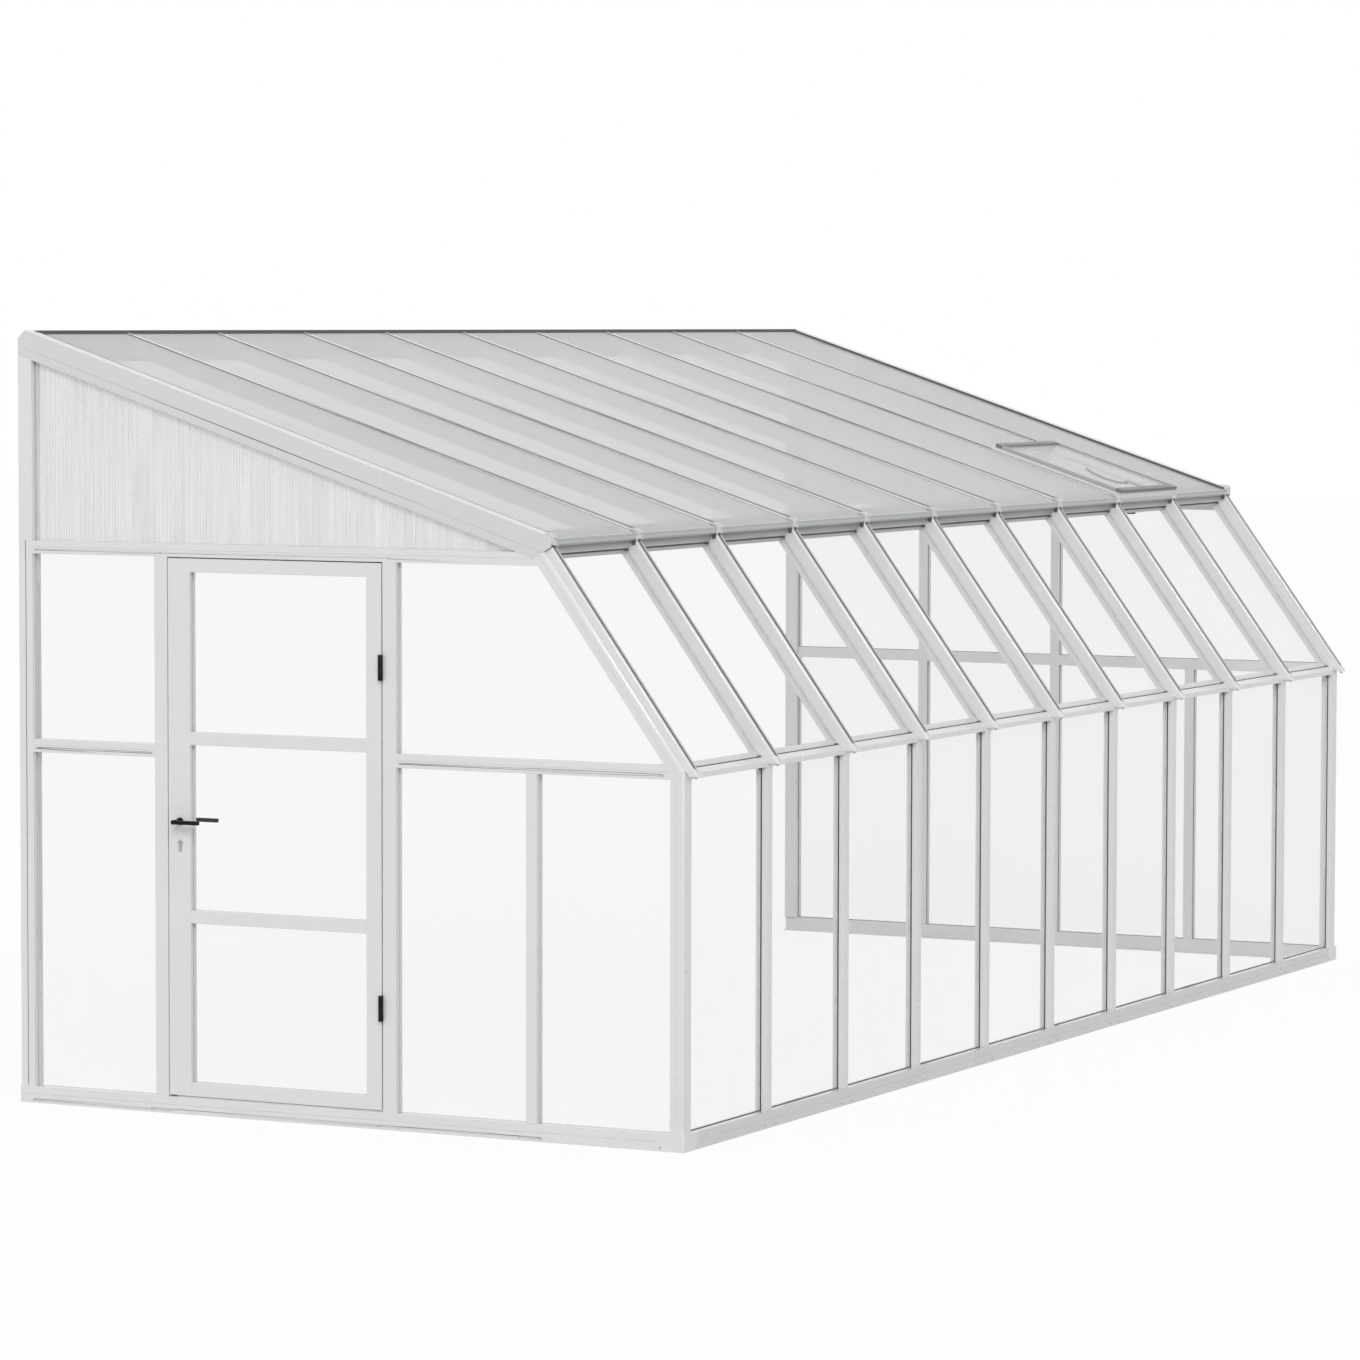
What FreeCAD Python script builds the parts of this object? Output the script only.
import FreeCAD, Part
import math
import os

os.makedirs("parts", exist_ok=True)
V = FreeCAD.Vector

# Plan of the room, in millimetres. x runs along the room from the door end,
# y from the front wall to the house wall, z up from the floor.
BAY_PITCH = 610.0
BAY_COUNT = 10
END_LINE = 30.0
DEPTH = 2569.0

# Extruded frame members
FRAME_D = 42.0
POST_W = 40.0
END_W = 54.0
CORNER_D = 50.0
CORNER_R = 6.0
WALL_POST_W = 55.0
JAMB_W = 51.0
SKIN = 3.0
LINE_W = 3.0
LINE_DEEP = 1.5
GROOVE_OUT = 20.0
GROOVE_W = 9.0
GROOVE_DEEP = 12.0
PANE_T = 4.0
PANE_GAP = 2.0

# Base rails
SILL_H = 58.0
SILL_PROUD = 6.0
SILL_D = 50.0
SILL_LINE_Z = 29.0
FOOT_W = 26.0
FOOT_T = 4.0
ANCHOR_D = 9.0
CORNER_ZONE = 100.0
SPLICE_NEAR = 1928.0
SPLICE_FAR = 4307.0
SPLICE_LEN = 160.0
SPIGOT_LEN = 45.0
SLIP = 0.4

# Slanted eave glazing: angle, and height of its outer line above the front face
EAVE_ANGLE = 53.8
EAVE_FRONT_Z = 1291.3
BAR_D = 72.0
BAR_GROOVE = 42.0
EAVE_SLOT = 45.5
BAR_SLOT_W = 18.0
BAR_SLOT_DEEP = 8.0
BAR_ROUND = 10.0
END_BASE_ROUND = 14.0
END_RIB_ROUND = 7.0
BAR_FOOT = 72.0
END_BAR_D = 74.0
END_RIB_D = 26.0
END_RIB_IN = 10.0
LOW_RAIL_DROP = 73.3
LOW_RAIL_FACE = 18.0
LOW_LIP_OUT = -20.5
LOW_LIP_IN = 8.5
LOW_HEEL = 13.0
RAIL_GROOVE = 14.0
CAP_T = 3.0
NUB_R = 6.0
NUB_LEN = 7.0

# Roof
ROOF_ANGLE = 18.14
EAVE_BREAK_Y = 526.3
RAFTER_D = 70.0
END_RAFTER_D = 89.0
END_RAFTER_LINE = 59.0
PANEL_T = 8.0
PANEL_DOWN = 8.6
RAFTER_CAP = 8.0
COVER_T = 3.5
COVER_W = 16.0
STEM_W = 8.0
CELL_PITCH = 11.0
CELL_SKIN = 0.8
NOSE_OVERHANG = 36.3
NOSE_H = 32.3
EAVE_RAIL_LEN = 100.0
EAVE_RAIL_LIP = 2.0
EAVE_COVE_IN = 20.0
EAVE_RAIL_NOSE = 8.5
PLATE_W = 45.0
PLATE_H = 96.0
FLASH_W = 32.0
FLASH_H = 13.4
TOP_CHAMFER = 28.0
TRIM_T = 1.5
TRIM_LEG = 6.0
CLIP_W = 32.0
CLIP_T = 4.0
CLIP_LEG = 30.0

# Gable ends
MID_RAIL_H = 46.0
HEAD_OVER = 21.5
HEAD_RAIL_H = 45.0
PANEL_IN = 10.0
LOCK_JAMB_Y = 1970.0
HINGE_JAMB_Y = 1076.0
FAR_MULLIONS = (656.0, 1282.0, 1908.0)
STOP_T = 3.0
STOP_IN = 10.0

LENGTH = 2 * END_LINE + BAY_COUNT * BAY_PITCH
GROOVE_IN = GROOVE_OUT + GROOVE_W
WEB = POST_W - 2 * GROOVE_DEEP
POST_TOP = EAVE_FRONT_Z - LOW_RAIL_DROP
MID_RAIL_Z = POST_TOP
VENT_BAY = BAY_COUNT - 2


def rect(a0, a1, b0, b1):
    return [(a0, b0), (a1, b0), (a1, b1), (a0, b1)]


def face(points):
    return Part.Face(Part.makePolygon(points + points[:1]))


def along_x(outline, x0, x1):
    return face([V(x0, y, z) for y, z in outline]).extrude(V(x1 - x0, 0, 0))


def along_y(outline, y0, y1):
    return face([V(x, y0, z) for x, z in outline]).extrude(V(0, y1 - y0, 0))


def along_z(outline, z0, z1):
    return face([V(x, y, z0) for x, y in outline]).extrude(V(0, 0, z1 - z0))


def box(x0, x1, y0, y1, z0, z1):
    return Part.makeBox(x1 - x0, y1 - y0, z1 - z0, V(x0, y0, z0))


def rod(start, direction, radius, length):
    return Part.makeCylinder(radius, length, start, direction)


def moved(shape, x=0.0, y=0.0, z=0.0):
    copy = shape.copy()
    copy.translate(V(x, y, z))
    return copy


def mirrored(shape):
    return shape.mirror(V(LENGTH / 2, 0, 0), V(1, 0, 0))


def both_ends(shape):
    return [shape, mirrored(shape)]


def group(shapes):
    return Part.makeCompound([s for shape in shapes for s in shape.Solids])


def line_x(i):
    return END_LINE + BAY_PITCH * i


def bay_sides(i):
    """Clear opening of bay i between its two members."""
    left = END_W if i == 0 else line_x(i) + POST_W / 2
    right = LENGTH - END_W if i == BAY_COUNT - 1 else line_x(i + 1) - POST_W / 2
    return left, right


def bay_pane(i):
    """Edges of a pane that sits in the side grooves of bay i."""
    left, right = bay_sides(i)
    reach = GROOVE_DEEP - PANE_GAP
    return left - reach, right + reach


def h_bar(width, depth, groove_out, groove_in, length, crown=SKIN):
    """Hollow member with a pane groove down each side, along z from 0."""
    half = width / 2
    web = half - GROOVE_DEEP
    body = box(-half, half, 0, depth, 0, length)
    cuts = [box(web, half + 1, groove_out, groove_in, -1, length + 1)]
    cuts.append(box(-half - 1, -web, groove_out, groove_in, -1, length + 1))
    cuts.append(box(SKIN - half, half - SKIN, crown, groove_out - SKIN, -1, length + 1))
    cuts.append(box(SKIN - half, half - SKIN, groove_in + SKIN, depth - SKIN, -1, length + 1))
    return body.cut(cuts)


# Base rails and corners

SILL_BACK = SILL_D - SILL_PROUD
ZONE_END = CORNER_ZONE - SILL_PROUD
HOLLOW_TOP = SILL_H - GROOVE_DEEP - SKIN


def sill_length(start, end):
    """One length of base rail, as it lies along the front wall."""
    body = box(start, end, -SILL_PROUD, SILL_BACK, 0, SILL_H)
    foot = box(start, end, SILL_BACK, SILL_BACK + FOOT_W, 0, FOOT_T)
    groove = box(start - 1, end + 1, GROOVE_OUT, GROOVE_IN, SILL_H - GROOVE_DEEP, SILL_H + 1)
    hollow = box(start - 1, end + 1, SKIN - SILL_PROUD, SILL_BACK - SKIN, SKIN, HOLLOW_TOP)
    line_low = SILL_LINE_Z - LINE_W / 2
    line = box(start - 1, end + 1, -SILL_PROUD - 1, LINE_DEEP - SILL_PROUD, line_low, line_low + LINE_W)
    return body.fuse(foot).removeSplitter().cut([groove, hollow, line])


def to_door_end(shape):
    """Swap x and y, which lays a front piece along the door end."""
    return shape.mirror(V(0, 0, 0), V(1, -1, 0))


def sill_insert(start, end):
    """Plug that slides into the hollow of a base rail."""
    low = SKIN - SILL_PROUD + SLIP
    return box(start, end, low, SILL_BACK - SKIN - SLIP, SKIN + SLIP, HOLLOW_TOP - SLIP)


def base_corner():
    leg = box(-SILL_PROUD, ZONE_END, -SILL_PROUD, SILL_BACK, 0, SILL_H)
    leg = leg.fuse(sill_insert(ZONE_END - 1, ZONE_END + SPIGOT_LEN))
    body = leg.fuse(to_door_end(leg)).removeSplitter()
    edge = [e for e in body.Edges if is_upright_at(e, -SILL_PROUD, -SILL_PROUD)]
    body = body.makeFillet(CORNER_R, edge)
    reach = END_W - GROOVE_DEEP
    groove = box(reach, ZONE_END + 1, GROOVE_OUT, GROOVE_IN, SILL_H - GROOVE_DEEP, SILL_H + 1)
    reach = CORNER_D - GROOVE_DEEP
    side = box(GROOVE_OUT, GROOVE_IN, reach, ZONE_END + 1, SILL_H - GROOVE_DEEP, SILL_H + 1)
    return body.cut([groove, side])


def is_upright_at(edge, x, y):
    ends = [v.Point for v in edge.Vertexes]
    return all(abs(p.x - x) < 0.01 and abs(p.y - y) < 0.01 for p in ends)


def corner_post():
    mitre = [(0, SILL_H), (CORNER_D, SILL_H), (CORNER_D, eave_z(CORNER_D, END_BAR_D)), (0, eave_z(0, END_RIB_D))]
    body = along_x(mitre, 0, END_W)
    edge = [e for e in body.Edges if is_upright_at(e, 0, 0)]
    body = body.makeFillet(CORNER_R, edge)
    top = EAVE_FRONT_Z
    front = box(END_W - GROOVE_DEEP, END_W + 1, GROOVE_OUT, GROOVE_IN, 0, top)
    side = box(GROOVE_OUT, GROOVE_IN, CORNER_D - GROOVE_DEEP, CORNER_D + 1, 0, top)
    line = box(-1, LINE_DEEP, GROOVE_IN - LINE_W / 2, GROOVE_IN + LINE_W / 2, SILL_H + LINE_W, MID_RAIL_Z)
    hollow = box(SKIN + 1, END_W - GROOVE_DEEP - SKIN, SKIN + 1, GROOVE_OUT - SKIN, 0, MID_RAIL_Z)
    return body.cut([front, side, line, hollow, end_pane_slot()])


def front_posts():
    post = moved(h_bar(POST_W, FRAME_D, GROOVE_OUT, GROOVE_IN, POST_TOP - SILL_H), z=SILL_H)
    return [moved(post, x=line_x(i)) for i in range(1, BAY_COUNT)]


def front_panes():
    panes = []
    low = SILL_H - GROOVE_DEEP + PANE_GAP
    high = POST_TOP + GROOVE_DEEP - PANE_GAP
    for i in range(BAY_COUNT):
        x0, x1 = bay_pane(i)
        panes.append(box(x0, x1, GROOVE_IN - PANE_T, GROOVE_IN, low, high))
    return panes


# Slopes: s runs up the slope and t straight in from its outer line

def slope(angle):
    turn = math.radians(angle)
    return math.cos(turn), math.sin(turn), math.tan(turn)


EC, ES, ET = slope(EAVE_ANGLE)
RC, RS, RT = slope(ROOF_ANGLE)
ROOF_FRONT_Z = EAVE_FRONT_Z + EAVE_BREAK_Y * (ET - RT)


def eave_z(y, t):
    return EAVE_FRONT_Z + y * ET - t / EC


def eave_y(z, t):
    return (z - EAVE_FRONT_Z + t / EC) / ET


def eave(s, t):
    return s * EC + t * ES, EAVE_FRONT_Z + s * ES - t * EC


def eave_s(y, z):
    return y * EC + (z - EAVE_FRONT_Z) * ES


def roof_z(y, t):
    return ROOF_FRONT_Z + y * RT - t / RC


def roof_y(z, t):
    return (z - ROOF_FRONT_Z + t / RC) / RT


def roof(s, t):
    return s * RC + t * RS, ROOF_FRONT_Z + s * RS - t * RC


def meet(t_roof, t_eave):
    """Where a line under the roof meets a line under the eave glazing."""
    y = (ROOF_FRONT_Z - t_roof / RC - EAVE_FRONT_Z + t_eave / EC) / (ET - RT)
    return y, roof_z(y, t_roof)


def lay_on(shape, angle, z):
    """Tip a member drawn with y as t and z as s onto its slope."""
    copy = shape.copy()
    copy.rotate(V(0, 0, 0), V(1, 0, 0), angle - 90)
    copy.translate(V(0, 0, z))
    return copy


def on_eave(shape):
    return lay_on(shape, EAVE_ANGLE, EAVE_FRONT_Z)


def on_roof(shape):
    return lay_on(shape, ROOF_ANGLE, ROOF_FRONT_Z)


PANEL_LOW = RAFTER_CAP + PANEL_DOWN
NOSE_Y = meet(0, 0)[0] - NOSE_OVERHANG
NOSE_S = NOSE_Y / RC
JOINT_OUT = (NOSE_Y, roof_z(NOSE_Y, 0) - NOSE_H)
JOINT_IN = meet(RAFTER_D, BAR_D)
JOINT_END = meet(END_RAFTER_D, END_BAR_D)
JOINT_S = eave_s(*JOINT_OUT)
PLATE_Y = DEPTH - PLATE_W
PLATE_TOP = roof_z(PLATE_Y, PANEL_LOW - PANEL_T)
FAR = 4000.0


def above_joint(inner, x0, x1):
    """Everything up the slope of the joint from the nose to an inner point."""
    dy = inner[0] - JOINT_OUT[0]
    dz = inner[1] - JOINT_OUT[1]
    low = (JOINT_OUT[0] - dy, JOINT_OUT[1] - dz)
    high = (inner[0] + 2 * dy, inner[1] + 2 * dz)
    return along_x([low, high, (high[0], FAR), (low[0], FAR)], x0, x1)


# Low eave rail

def low_rail_outline():
    heel = eave_y(POST_TOP + LOW_HEEL, BAR_D)
    inner = [eave(LOW_LIP_IN, BAR_D), (heel, POST_TOP + LOW_HEEL), (FRAME_D, POST_TOP)]
    outer = [(0, POST_TOP), (0, POST_TOP + LOW_RAIL_FACE), eave(LOW_LIP_OUT, BAR_GROOVE)]
    return outer, [eave(LOW_LIP_IN, BAR_GROOVE + GROOVE_W)] + inner


def low_rail(x0, x1):
    outer, inner = low_rail_outline()
    floor = LOW_LIP_OUT - RAIL_GROOVE
    slot = [eave(floor, BAR_GROOVE), eave(floor, BAR_GROOVE + GROOVE_W)]
    body = along_x(outer + slot + inner, x0, x1)
    return body.cut(box(x0 - 1, x1 + 1, GROOVE_OUT, GROOVE_IN, POST_TOP - 1, POST_TOP + GROOVE_DEEP))


# Slanted bars and panes

BAR_LENGTH = JOINT_S + BAR_FOOT + 2 * EAVE_RAIL_LEN
BAR_FOOT_Z = eave(-BAR_FOOT, 0)[1]


def below_foot(x0, x1):
    """Everything under the level foot of the bars, in front of the wall frame."""
    return box(x0, x1, -FAR, FRAME_D, BAR_FOOT_Z - FAR, BAR_FOOT_Z)


def crown_slot(middle, start, end):
    """Slot along the crown of a bar, for its sealing strip."""
    half = BAR_SLOT_W / 2
    return box(middle - half, middle + half, -1, BAR_SLOT_DEEP, start, end)


def rounded(body, spots, radius):
    """Round the long edges that stand at the given places."""
    edges = [e for e in body.Edges if any(is_upright_at(e, x, y) for x, y in spots)]
    return body.makeFillet(radius, edges)


def eave_bar():
    groove_in = BAR_GROOVE + GROOVE_W
    bar = h_bar(POST_W, BAR_D, EAVE_SLOT, groove_in, BAR_LENGTH, BAR_SLOT_DEEP + SKIN)
    half = POST_W / 2
    bar = moved(rounded(bar, ((-half, 0), (half, 0)), BAR_ROUND), z=-BAR_FOOT)
    under = box(-POST_W, POST_W, BAR_GROOVE, BAR_D + 1, -BAR_FOOT - 1, LOW_LIP_OUT)
    behind = box(-POST_W, POST_W, groove_in, BAR_D + 1, -BAR_FOOT - 1, LOW_LIP_IN)
    bar = on_eave(bar.cut([crown_slot(0, -BAR_FOOT - 1, BAR_LENGTH), under, behind]))
    outer, inner = low_rail_outline()
    rail = along_x(outer + inner, -POST_W, POST_W)
    return bar.cut([rail, below_foot(-POST_W, POST_W), above_joint(JOINT_IN, -POST_W, POST_W)])


def end_eave_bar():
    start = -BAR_FOOT - 1
    end = BAR_LENGTH - BAR_FOOT
    base = box(0, END_W, END_RIB_D, END_BAR_D, start, end)
    groove_in = BAR_GROOVE + GROOVE_W
    base = rounded(base, ((0, END_RIB_D),), END_BASE_ROUND)
    pane = box(END_W - GROOVE_DEEP, END_W + 1, EAVE_SLOT, groove_in, start - 1, end + 1)
    side = box(GROOVE_OUT, GROOVE_IN, END_BAR_D - GROOVE_DEEP, END_BAR_D + 1, start - 1, end + 1)
    line = box(-1, LINE_DEEP, groove_in, groove_in + LINE_W, start - 1, end + 1)
    hollow_in = END_BAR_D - GROOVE_DEEP - SKIN
    hollow_out = END_RIB_D + END_BASE_ROUND
    hollow = box(END_BASE_ROUND, END_W - GROOVE_DEEP - SKIN, hollow_out, hollow_in, start - 1, end + 1)
    base = on_eave(base.cut([pane, side, line, hollow]))
    rib_out = END_RIB_IN + POST_W
    rib = box(END_RIB_IN, rib_out, 0, END_RIB_D, -BAR_FOOT, end)
    rib = rounded(rib, ((END_RIB_IN, 0), (rib_out, 0)), END_RIB_ROUND)
    rib = on_eave(rib.cut(crown_slot((END_RIB_IN + rib_out) / 2, start, end + 1)))
    rib = rib.cut(below_foot(0, END_W))
    out = (0, eave_z(0, END_RIB_D))
    back = (CORNER_D, eave_z(CORNER_D, END_BAR_D))
    dy = back[0] - out[0]
    dz = back[1] - out[1]
    low = (out[0] - 2 * dy, out[1] - 2 * dz)
    high = (back[0] + 2 * dy, back[1] + 2 * dz)
    below = along_x([low, high, (high[0], 0), (low[0], 0)], -1, END_W + 1)
    bar = base.cut(below).fuse(rib).removeSplitter()
    return bar.cut(above_joint(JOINT_END, -1, END_W + 1))


def eave_panes():
    panes = []
    low = LOW_LIP_OUT - RAIL_GROOVE + PANE_GAP
    high = JOINT_S + RAIL_GROOVE - PANE_GAP
    inner = BAR_GROOVE + GROOVE_W
    for i in range(BAY_COUNT):
        x0, x1 = bay_pane(i)
        panes.append(on_eave(box(x0, x1, inner - PANE_T, inner, low, high)))
    return panes


def bar_end_cap(depth, radius):
    """Moulded cap under the level foot of a bar rib, drawn at x = 0."""
    half = POST_W / 2
    sleeve = box(-half, half, 0, depth, -BAR_FOOT - 2 * depth, 0)
    sleeve = on_eave(rounded(sleeve, ((-half, 0), (half, 0)), radius))
    low = BAR_FOOT_Z - CAP_T
    plate = sleeve.common(box(-half, half, -FAR, 0, low, BAR_FOOT_Z))
    nub_y = eave_y(low, END_RIB_D / 2)
    nub = rod(V(0, nub_y, low - NUB_LEN), V(0, 0, 1), NUB_R, NUB_LEN)
    return plate.fuse(nub).removeSplitter()


def bar_end_caps():
    caps = across_bars(bar_end_cap(BAR_GROOVE, BAR_ROUND))
    return caps + both_ends(moved(bar_end_cap(END_RIB_D, END_RIB_ROUND), x=END_RIB_IN + POST_W / 2))


def end_pane_slot():
    """Room for the edge of the first slanted pane in the end frame."""
    low = LOW_LIP_OUT - RAIL_GROOVE
    high = JOINT_S + RAIL_GROOVE
    return on_eave(box(END_W - GROOVE_DEEP, END_W + 1, EAVE_SLOT, BAR_GROOVE + GROOVE_W, low, high))


# Upper eave rail, between the bars

def upper_rail(x0, x1):
    front = NOSE_Y + 2
    back = NOSE_Y + EAVE_RAIL_LEN
    floor = JOINT_S + RAIL_GROOVE
    groove_in = BAR_GROOVE + GROOVE_W
    top = [(front, roof_z(front, PANEL_LOW)), (back, roof_z(back, PANEL_LOW))]
    rear = [(back, roof_z(back, RAFTER_D)), JOINT_IN]
    lip = [eave(JOINT_S - EAVE_RAIL_LIP, BAR_D), eave(JOINT_S - EAVE_RAIL_LIP, groove_in)]
    slot = [eave(floor, groove_in), eave(floor, BAR_GROOVE), eave(JOINT_S, BAR_GROOVE)]
    nose_z = roof_z(front, PANEL_LOW) - EAVE_RAIL_NOSE
    cove = front + EAVE_COVE_IN
    nose = [(cove, (nose_z + eave_z(cove, BAR_GROOVE) + roof_z(cove, PANEL_LOW)) / 3), (front, nose_z)]
    body = along_x(top + rear + lip + slot + nose, x0, x1)
    left = back - 2.6 * SKIN - EAVE_RAIL_LEN / 4
    right = back - 2 * SKIN
    inner = [(left, roof_z(left, RAFTER_D - 3 * SKIN)), (right, roof_z(right, RAFTER_D - 3 * SKIN))]
    inner += [(right, roof_z(right, PANEL_LOW + 2 * SKIN)), (left, roof_z(left, PANEL_LOW + 2 * SKIN))]
    return body.cut(along_x(inner, x0 - 1, x1 + 1))


# Roof rafters, panels and wall plate

RAFTER_END = DEPTH / RC + RAFTER_D


def roof_rafter():
    """Tube with a narrow stem and cover strip that hold the sheets down."""
    half = POST_W / 2
    tube = box(-half, half, PANEL_LOW, RAFTER_D, 0, RAFTER_END)
    stem = box(-STEM_W / 2, STEM_W / 2, RAFTER_CAP - COVER_T, PANEL_LOW + 1, 0, RAFTER_END)
    cover = box(-COVER_W / 2, COVER_W / 2, RAFTER_CAP - COVER_T, RAFTER_CAP, 0, RAFTER_END)
    hollow = box(SKIN - half, half - SKIN, PANEL_LOW + SKIN, RAFTER_D - SKIN, -1, RAFTER_END + 1)
    bar = on_roof(tube.fuse([stem, cover]).removeSplitter().cut(hollow))
    top = [(NOSE_Y, roof_z(NOSE_Y, -1)), JOINT_OUT, JOINT_IN]
    rear = [(PLATE_Y, roof_z(PLATE_Y, RAFTER_D)), (PLATE_Y, roof_z(PLATE_Y, -1))]
    return bar.common(along_x(top + rear, -POST_W, POST_W))


def sheet_edges(i):
    """Edges of a roof sheet between the rafter stems of bay i."""
    reach = END_W - GROOVE_DEEP + PANE_GAP
    side = STEM_W / 2 + PANE_GAP
    left = reach if i == 0 else line_x(i) + side
    right = LENGTH - reach if i == BAY_COUNT - 1 else line_x(i + 1) - side
    return left, right


def end_rafter():
    bar = box(0, END_W, 0, END_RAFTER_D, 0, RAFTER_END)
    panel = box(END_W - GROOVE_DEEP, END_W + 1, RAFTER_CAP, PANEL_LOW, -1, RAFTER_END + 1)
    deep = END_RAFTER_D - GROOVE_DEEP
    side = box(GROOVE_OUT, GROOVE_OUT + PANEL_DOWN, deep, END_RAFTER_D + 1, -1, RAFTER_END + 1)
    line = box(-1, LINE_DEEP, END_RAFTER_LINE, END_RAFTER_LINE + LINE_W, -1, PLATE_Y / RC)
    hollow = box(SKIN, END_W - SKIN, PANEL_LOW + SKIN, deep - SKIN, -1, PLATE_Y / RC)
    bar = on_roof(bar.cut([panel, side, line, hollow]))
    top = [(NOSE_Y, roof_z(NOSE_Y, -1)), JOINT_OUT, JOINT_END]
    chamfer_y = DEPTH - TOP_CHAMFER
    rear = [(DEPTH, roof_z(DEPTH, END_RAFTER_D)), (DEPTH, roof_z(chamfer_y, 0) - TOP_CHAMFER)]
    rear += [(chamfer_y, roof_z(chamfer_y, 0)), (chamfer_y, roof_z(chamfer_y, -1))]
    return bar.common(along_x(top + rear, -1, END_W + 1)).cut(end_pane_slot())


def cover_edges(i):
    """Clear width between the cover strips of bay i."""
    left = END_W if i == 0 else line_x(i) + COVER_W / 2
    right = LENGTH - END_W if i == BAY_COUNT - 1 else line_x(i + 1) - COVER_W / 2
    return left, right


def twin_wall(a0, a1, b0, length):
    """Twin-wall sheet: cells across a, thickness along b, drawn along z."""
    b1 = b0 + PANEL_T
    count = int((a1 - a0 - CELL_SKIN) / CELL_PITCH)
    edge = (a1 - a0 - count * CELL_PITCH) / 2
    sheet = face([V(a, b, 0) for a, b in rect(a0, a1, b0, b1)])
    cells = []
    for k in range(count):
        c0 = a0 + edge + k * CELL_PITCH + CELL_SKIN / 2
        c1 = c0 + CELL_PITCH - CELL_SKIN
        cells.append(face([V(a, b, 0) for a, b in rect(c0, c1, b0 + CELL_SKIN, b1 - CELL_SKIN)]))
    return sheet.cut(cells).extrude(V(0, 0, length))


PANEL_START = NOSE_S + 2.0


def roof_panel(i, start):
    x0, x1 = sheet_edges(i)
    sheet = moved(twin_wall(x0, x1, PANEL_LOW - PANEL_T, RAFTER_END - start), z=start)
    wall = box(x0 - 1, x1 + 1, PLATE_Y, DEPTH + FAR, 0, FAR)
    return on_roof(sheet).cut(wall)


def panel_end_trim(i):
    x0, x1 = cover_edges(i)
    high = PANEL_LOW - PANEL_T
    top = box(x0 + SLIP, x1 - SLIP, high - TRIM_T, high, PANEL_START - TRIM_T, PANEL_START + TRIM_LEG)
    end = box(x0 + SLIP, x1 - SLIP, high - TRIM_T, PANEL_LOW, PANEL_START - TRIM_T, PANEL_START)
    return on_roof(top.fuse(end).removeSplitter())


def wall_plate():
    body = box(END_W, LENGTH - END_W, PLATE_Y, DEPTH, PLATE_TOP - PLATE_H, PLATE_TOP)
    return body.cut(box(END_W - 1, LENGTH, PLATE_Y + SKIN, DEPTH - SKIN, PLATE_TOP - PLATE_H + SKIN, PLATE_TOP - SKIN))


SEAL_W = 6.0


def ridge_seal():
    return box(END_W, LENGTH - END_W, PLATE_Y, PLATE_Y + FLASH_W, PLATE_TOP, PLATE_TOP + FLASH_H)


def edge_seal():
    """Strip on the roof sheet, against the side of an end rafter."""
    strip = on_roof(box(END_W, END_W + SEAL_W, 0, PANEL_LOW - PANEL_T, PANEL_START + TRIM_LEG, RAFTER_END))
    return strip.cut(box(0, LENGTH, PLATE_Y, DEPTH + FAR, 0, FAR))


def eave_clip(t):
    """Saddle over a rafter nose whose top lies at depth t, drawn at x = 0."""
    front = NOSE_Y - CLIP_T
    back = NOSE_Y + CLIP_LEG
    low = roof_z(NOSE_Y, 0) - NOSE_H + CLIP_T
    top = [(NOSE_Y, roof_z(NOSE_Y, t)), (back, roof_z(back, t)), (back, roof_z(back, t - CLIP_T))]
    outline = top + [(front, roof_z(front, t - CLIP_T)), (front, low), (NOSE_Y, low)]
    clip = along_x(outline, -CLIP_W / 2, CLIP_W / 2)
    start = PANEL_START - TRIM_T - SLIP
    beside = box(COVER_W / 2, CLIP_W, -RAFTER_D, RAFTER_D, start, start + CLIP_LEG * 2)
    return clip.cut([on_roof(beside), on_roof(moved(beside, x=-CLIP_W - COVER_W / 2))])


# Gable ends, drawn at the door end; the far end is a mirror image

HEAD_TOP = JOINT_END[1] + HEAD_OVER
HEAD_RAIL_Z = HEAD_TOP - HEAD_RAIL_H
MID_TOP = MID_RAIL_Z + MID_RAIL_H
WALL_FACE = DEPTH - WALL_POST_W
LOCK_JAMB_END = LOCK_JAMB_Y + JAMB_W
HINGE_JAMB_END = HINGE_JAMB_Y + JAMB_W
REACH = GROOVE_DEEP - PANE_GAP


def wall_post():
    top = [(DEPTH, roof_z(DEPTH, END_RAFTER_D)), (WALL_FACE, roof_z(WALL_FACE, END_RAFTER_D))]
    body = along_x([(WALL_FACE, SILL_H), (DEPTH, SILL_H)] + top, 0, END_W)
    groove = box(GROOVE_OUT, GROOVE_IN, WALL_FACE - 1, WALL_FACE + GROOVE_DEEP, 0, FAR)
    middle = WALL_FACE + WALL_POST_W / 2
    line = box(-1, LINE_DEEP, middle - LINE_W / 2, middle + LINE_W / 2, SILL_H + LINE_W, HEAD_TOP)
    hollow = box(SKIN, END_W - SKIN, WALL_FACE + GROOVE_DEEP + SKIN, DEPTH - 2 * SKIN, 0, FAR)
    return body.cut([groove, line, hollow])


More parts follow.
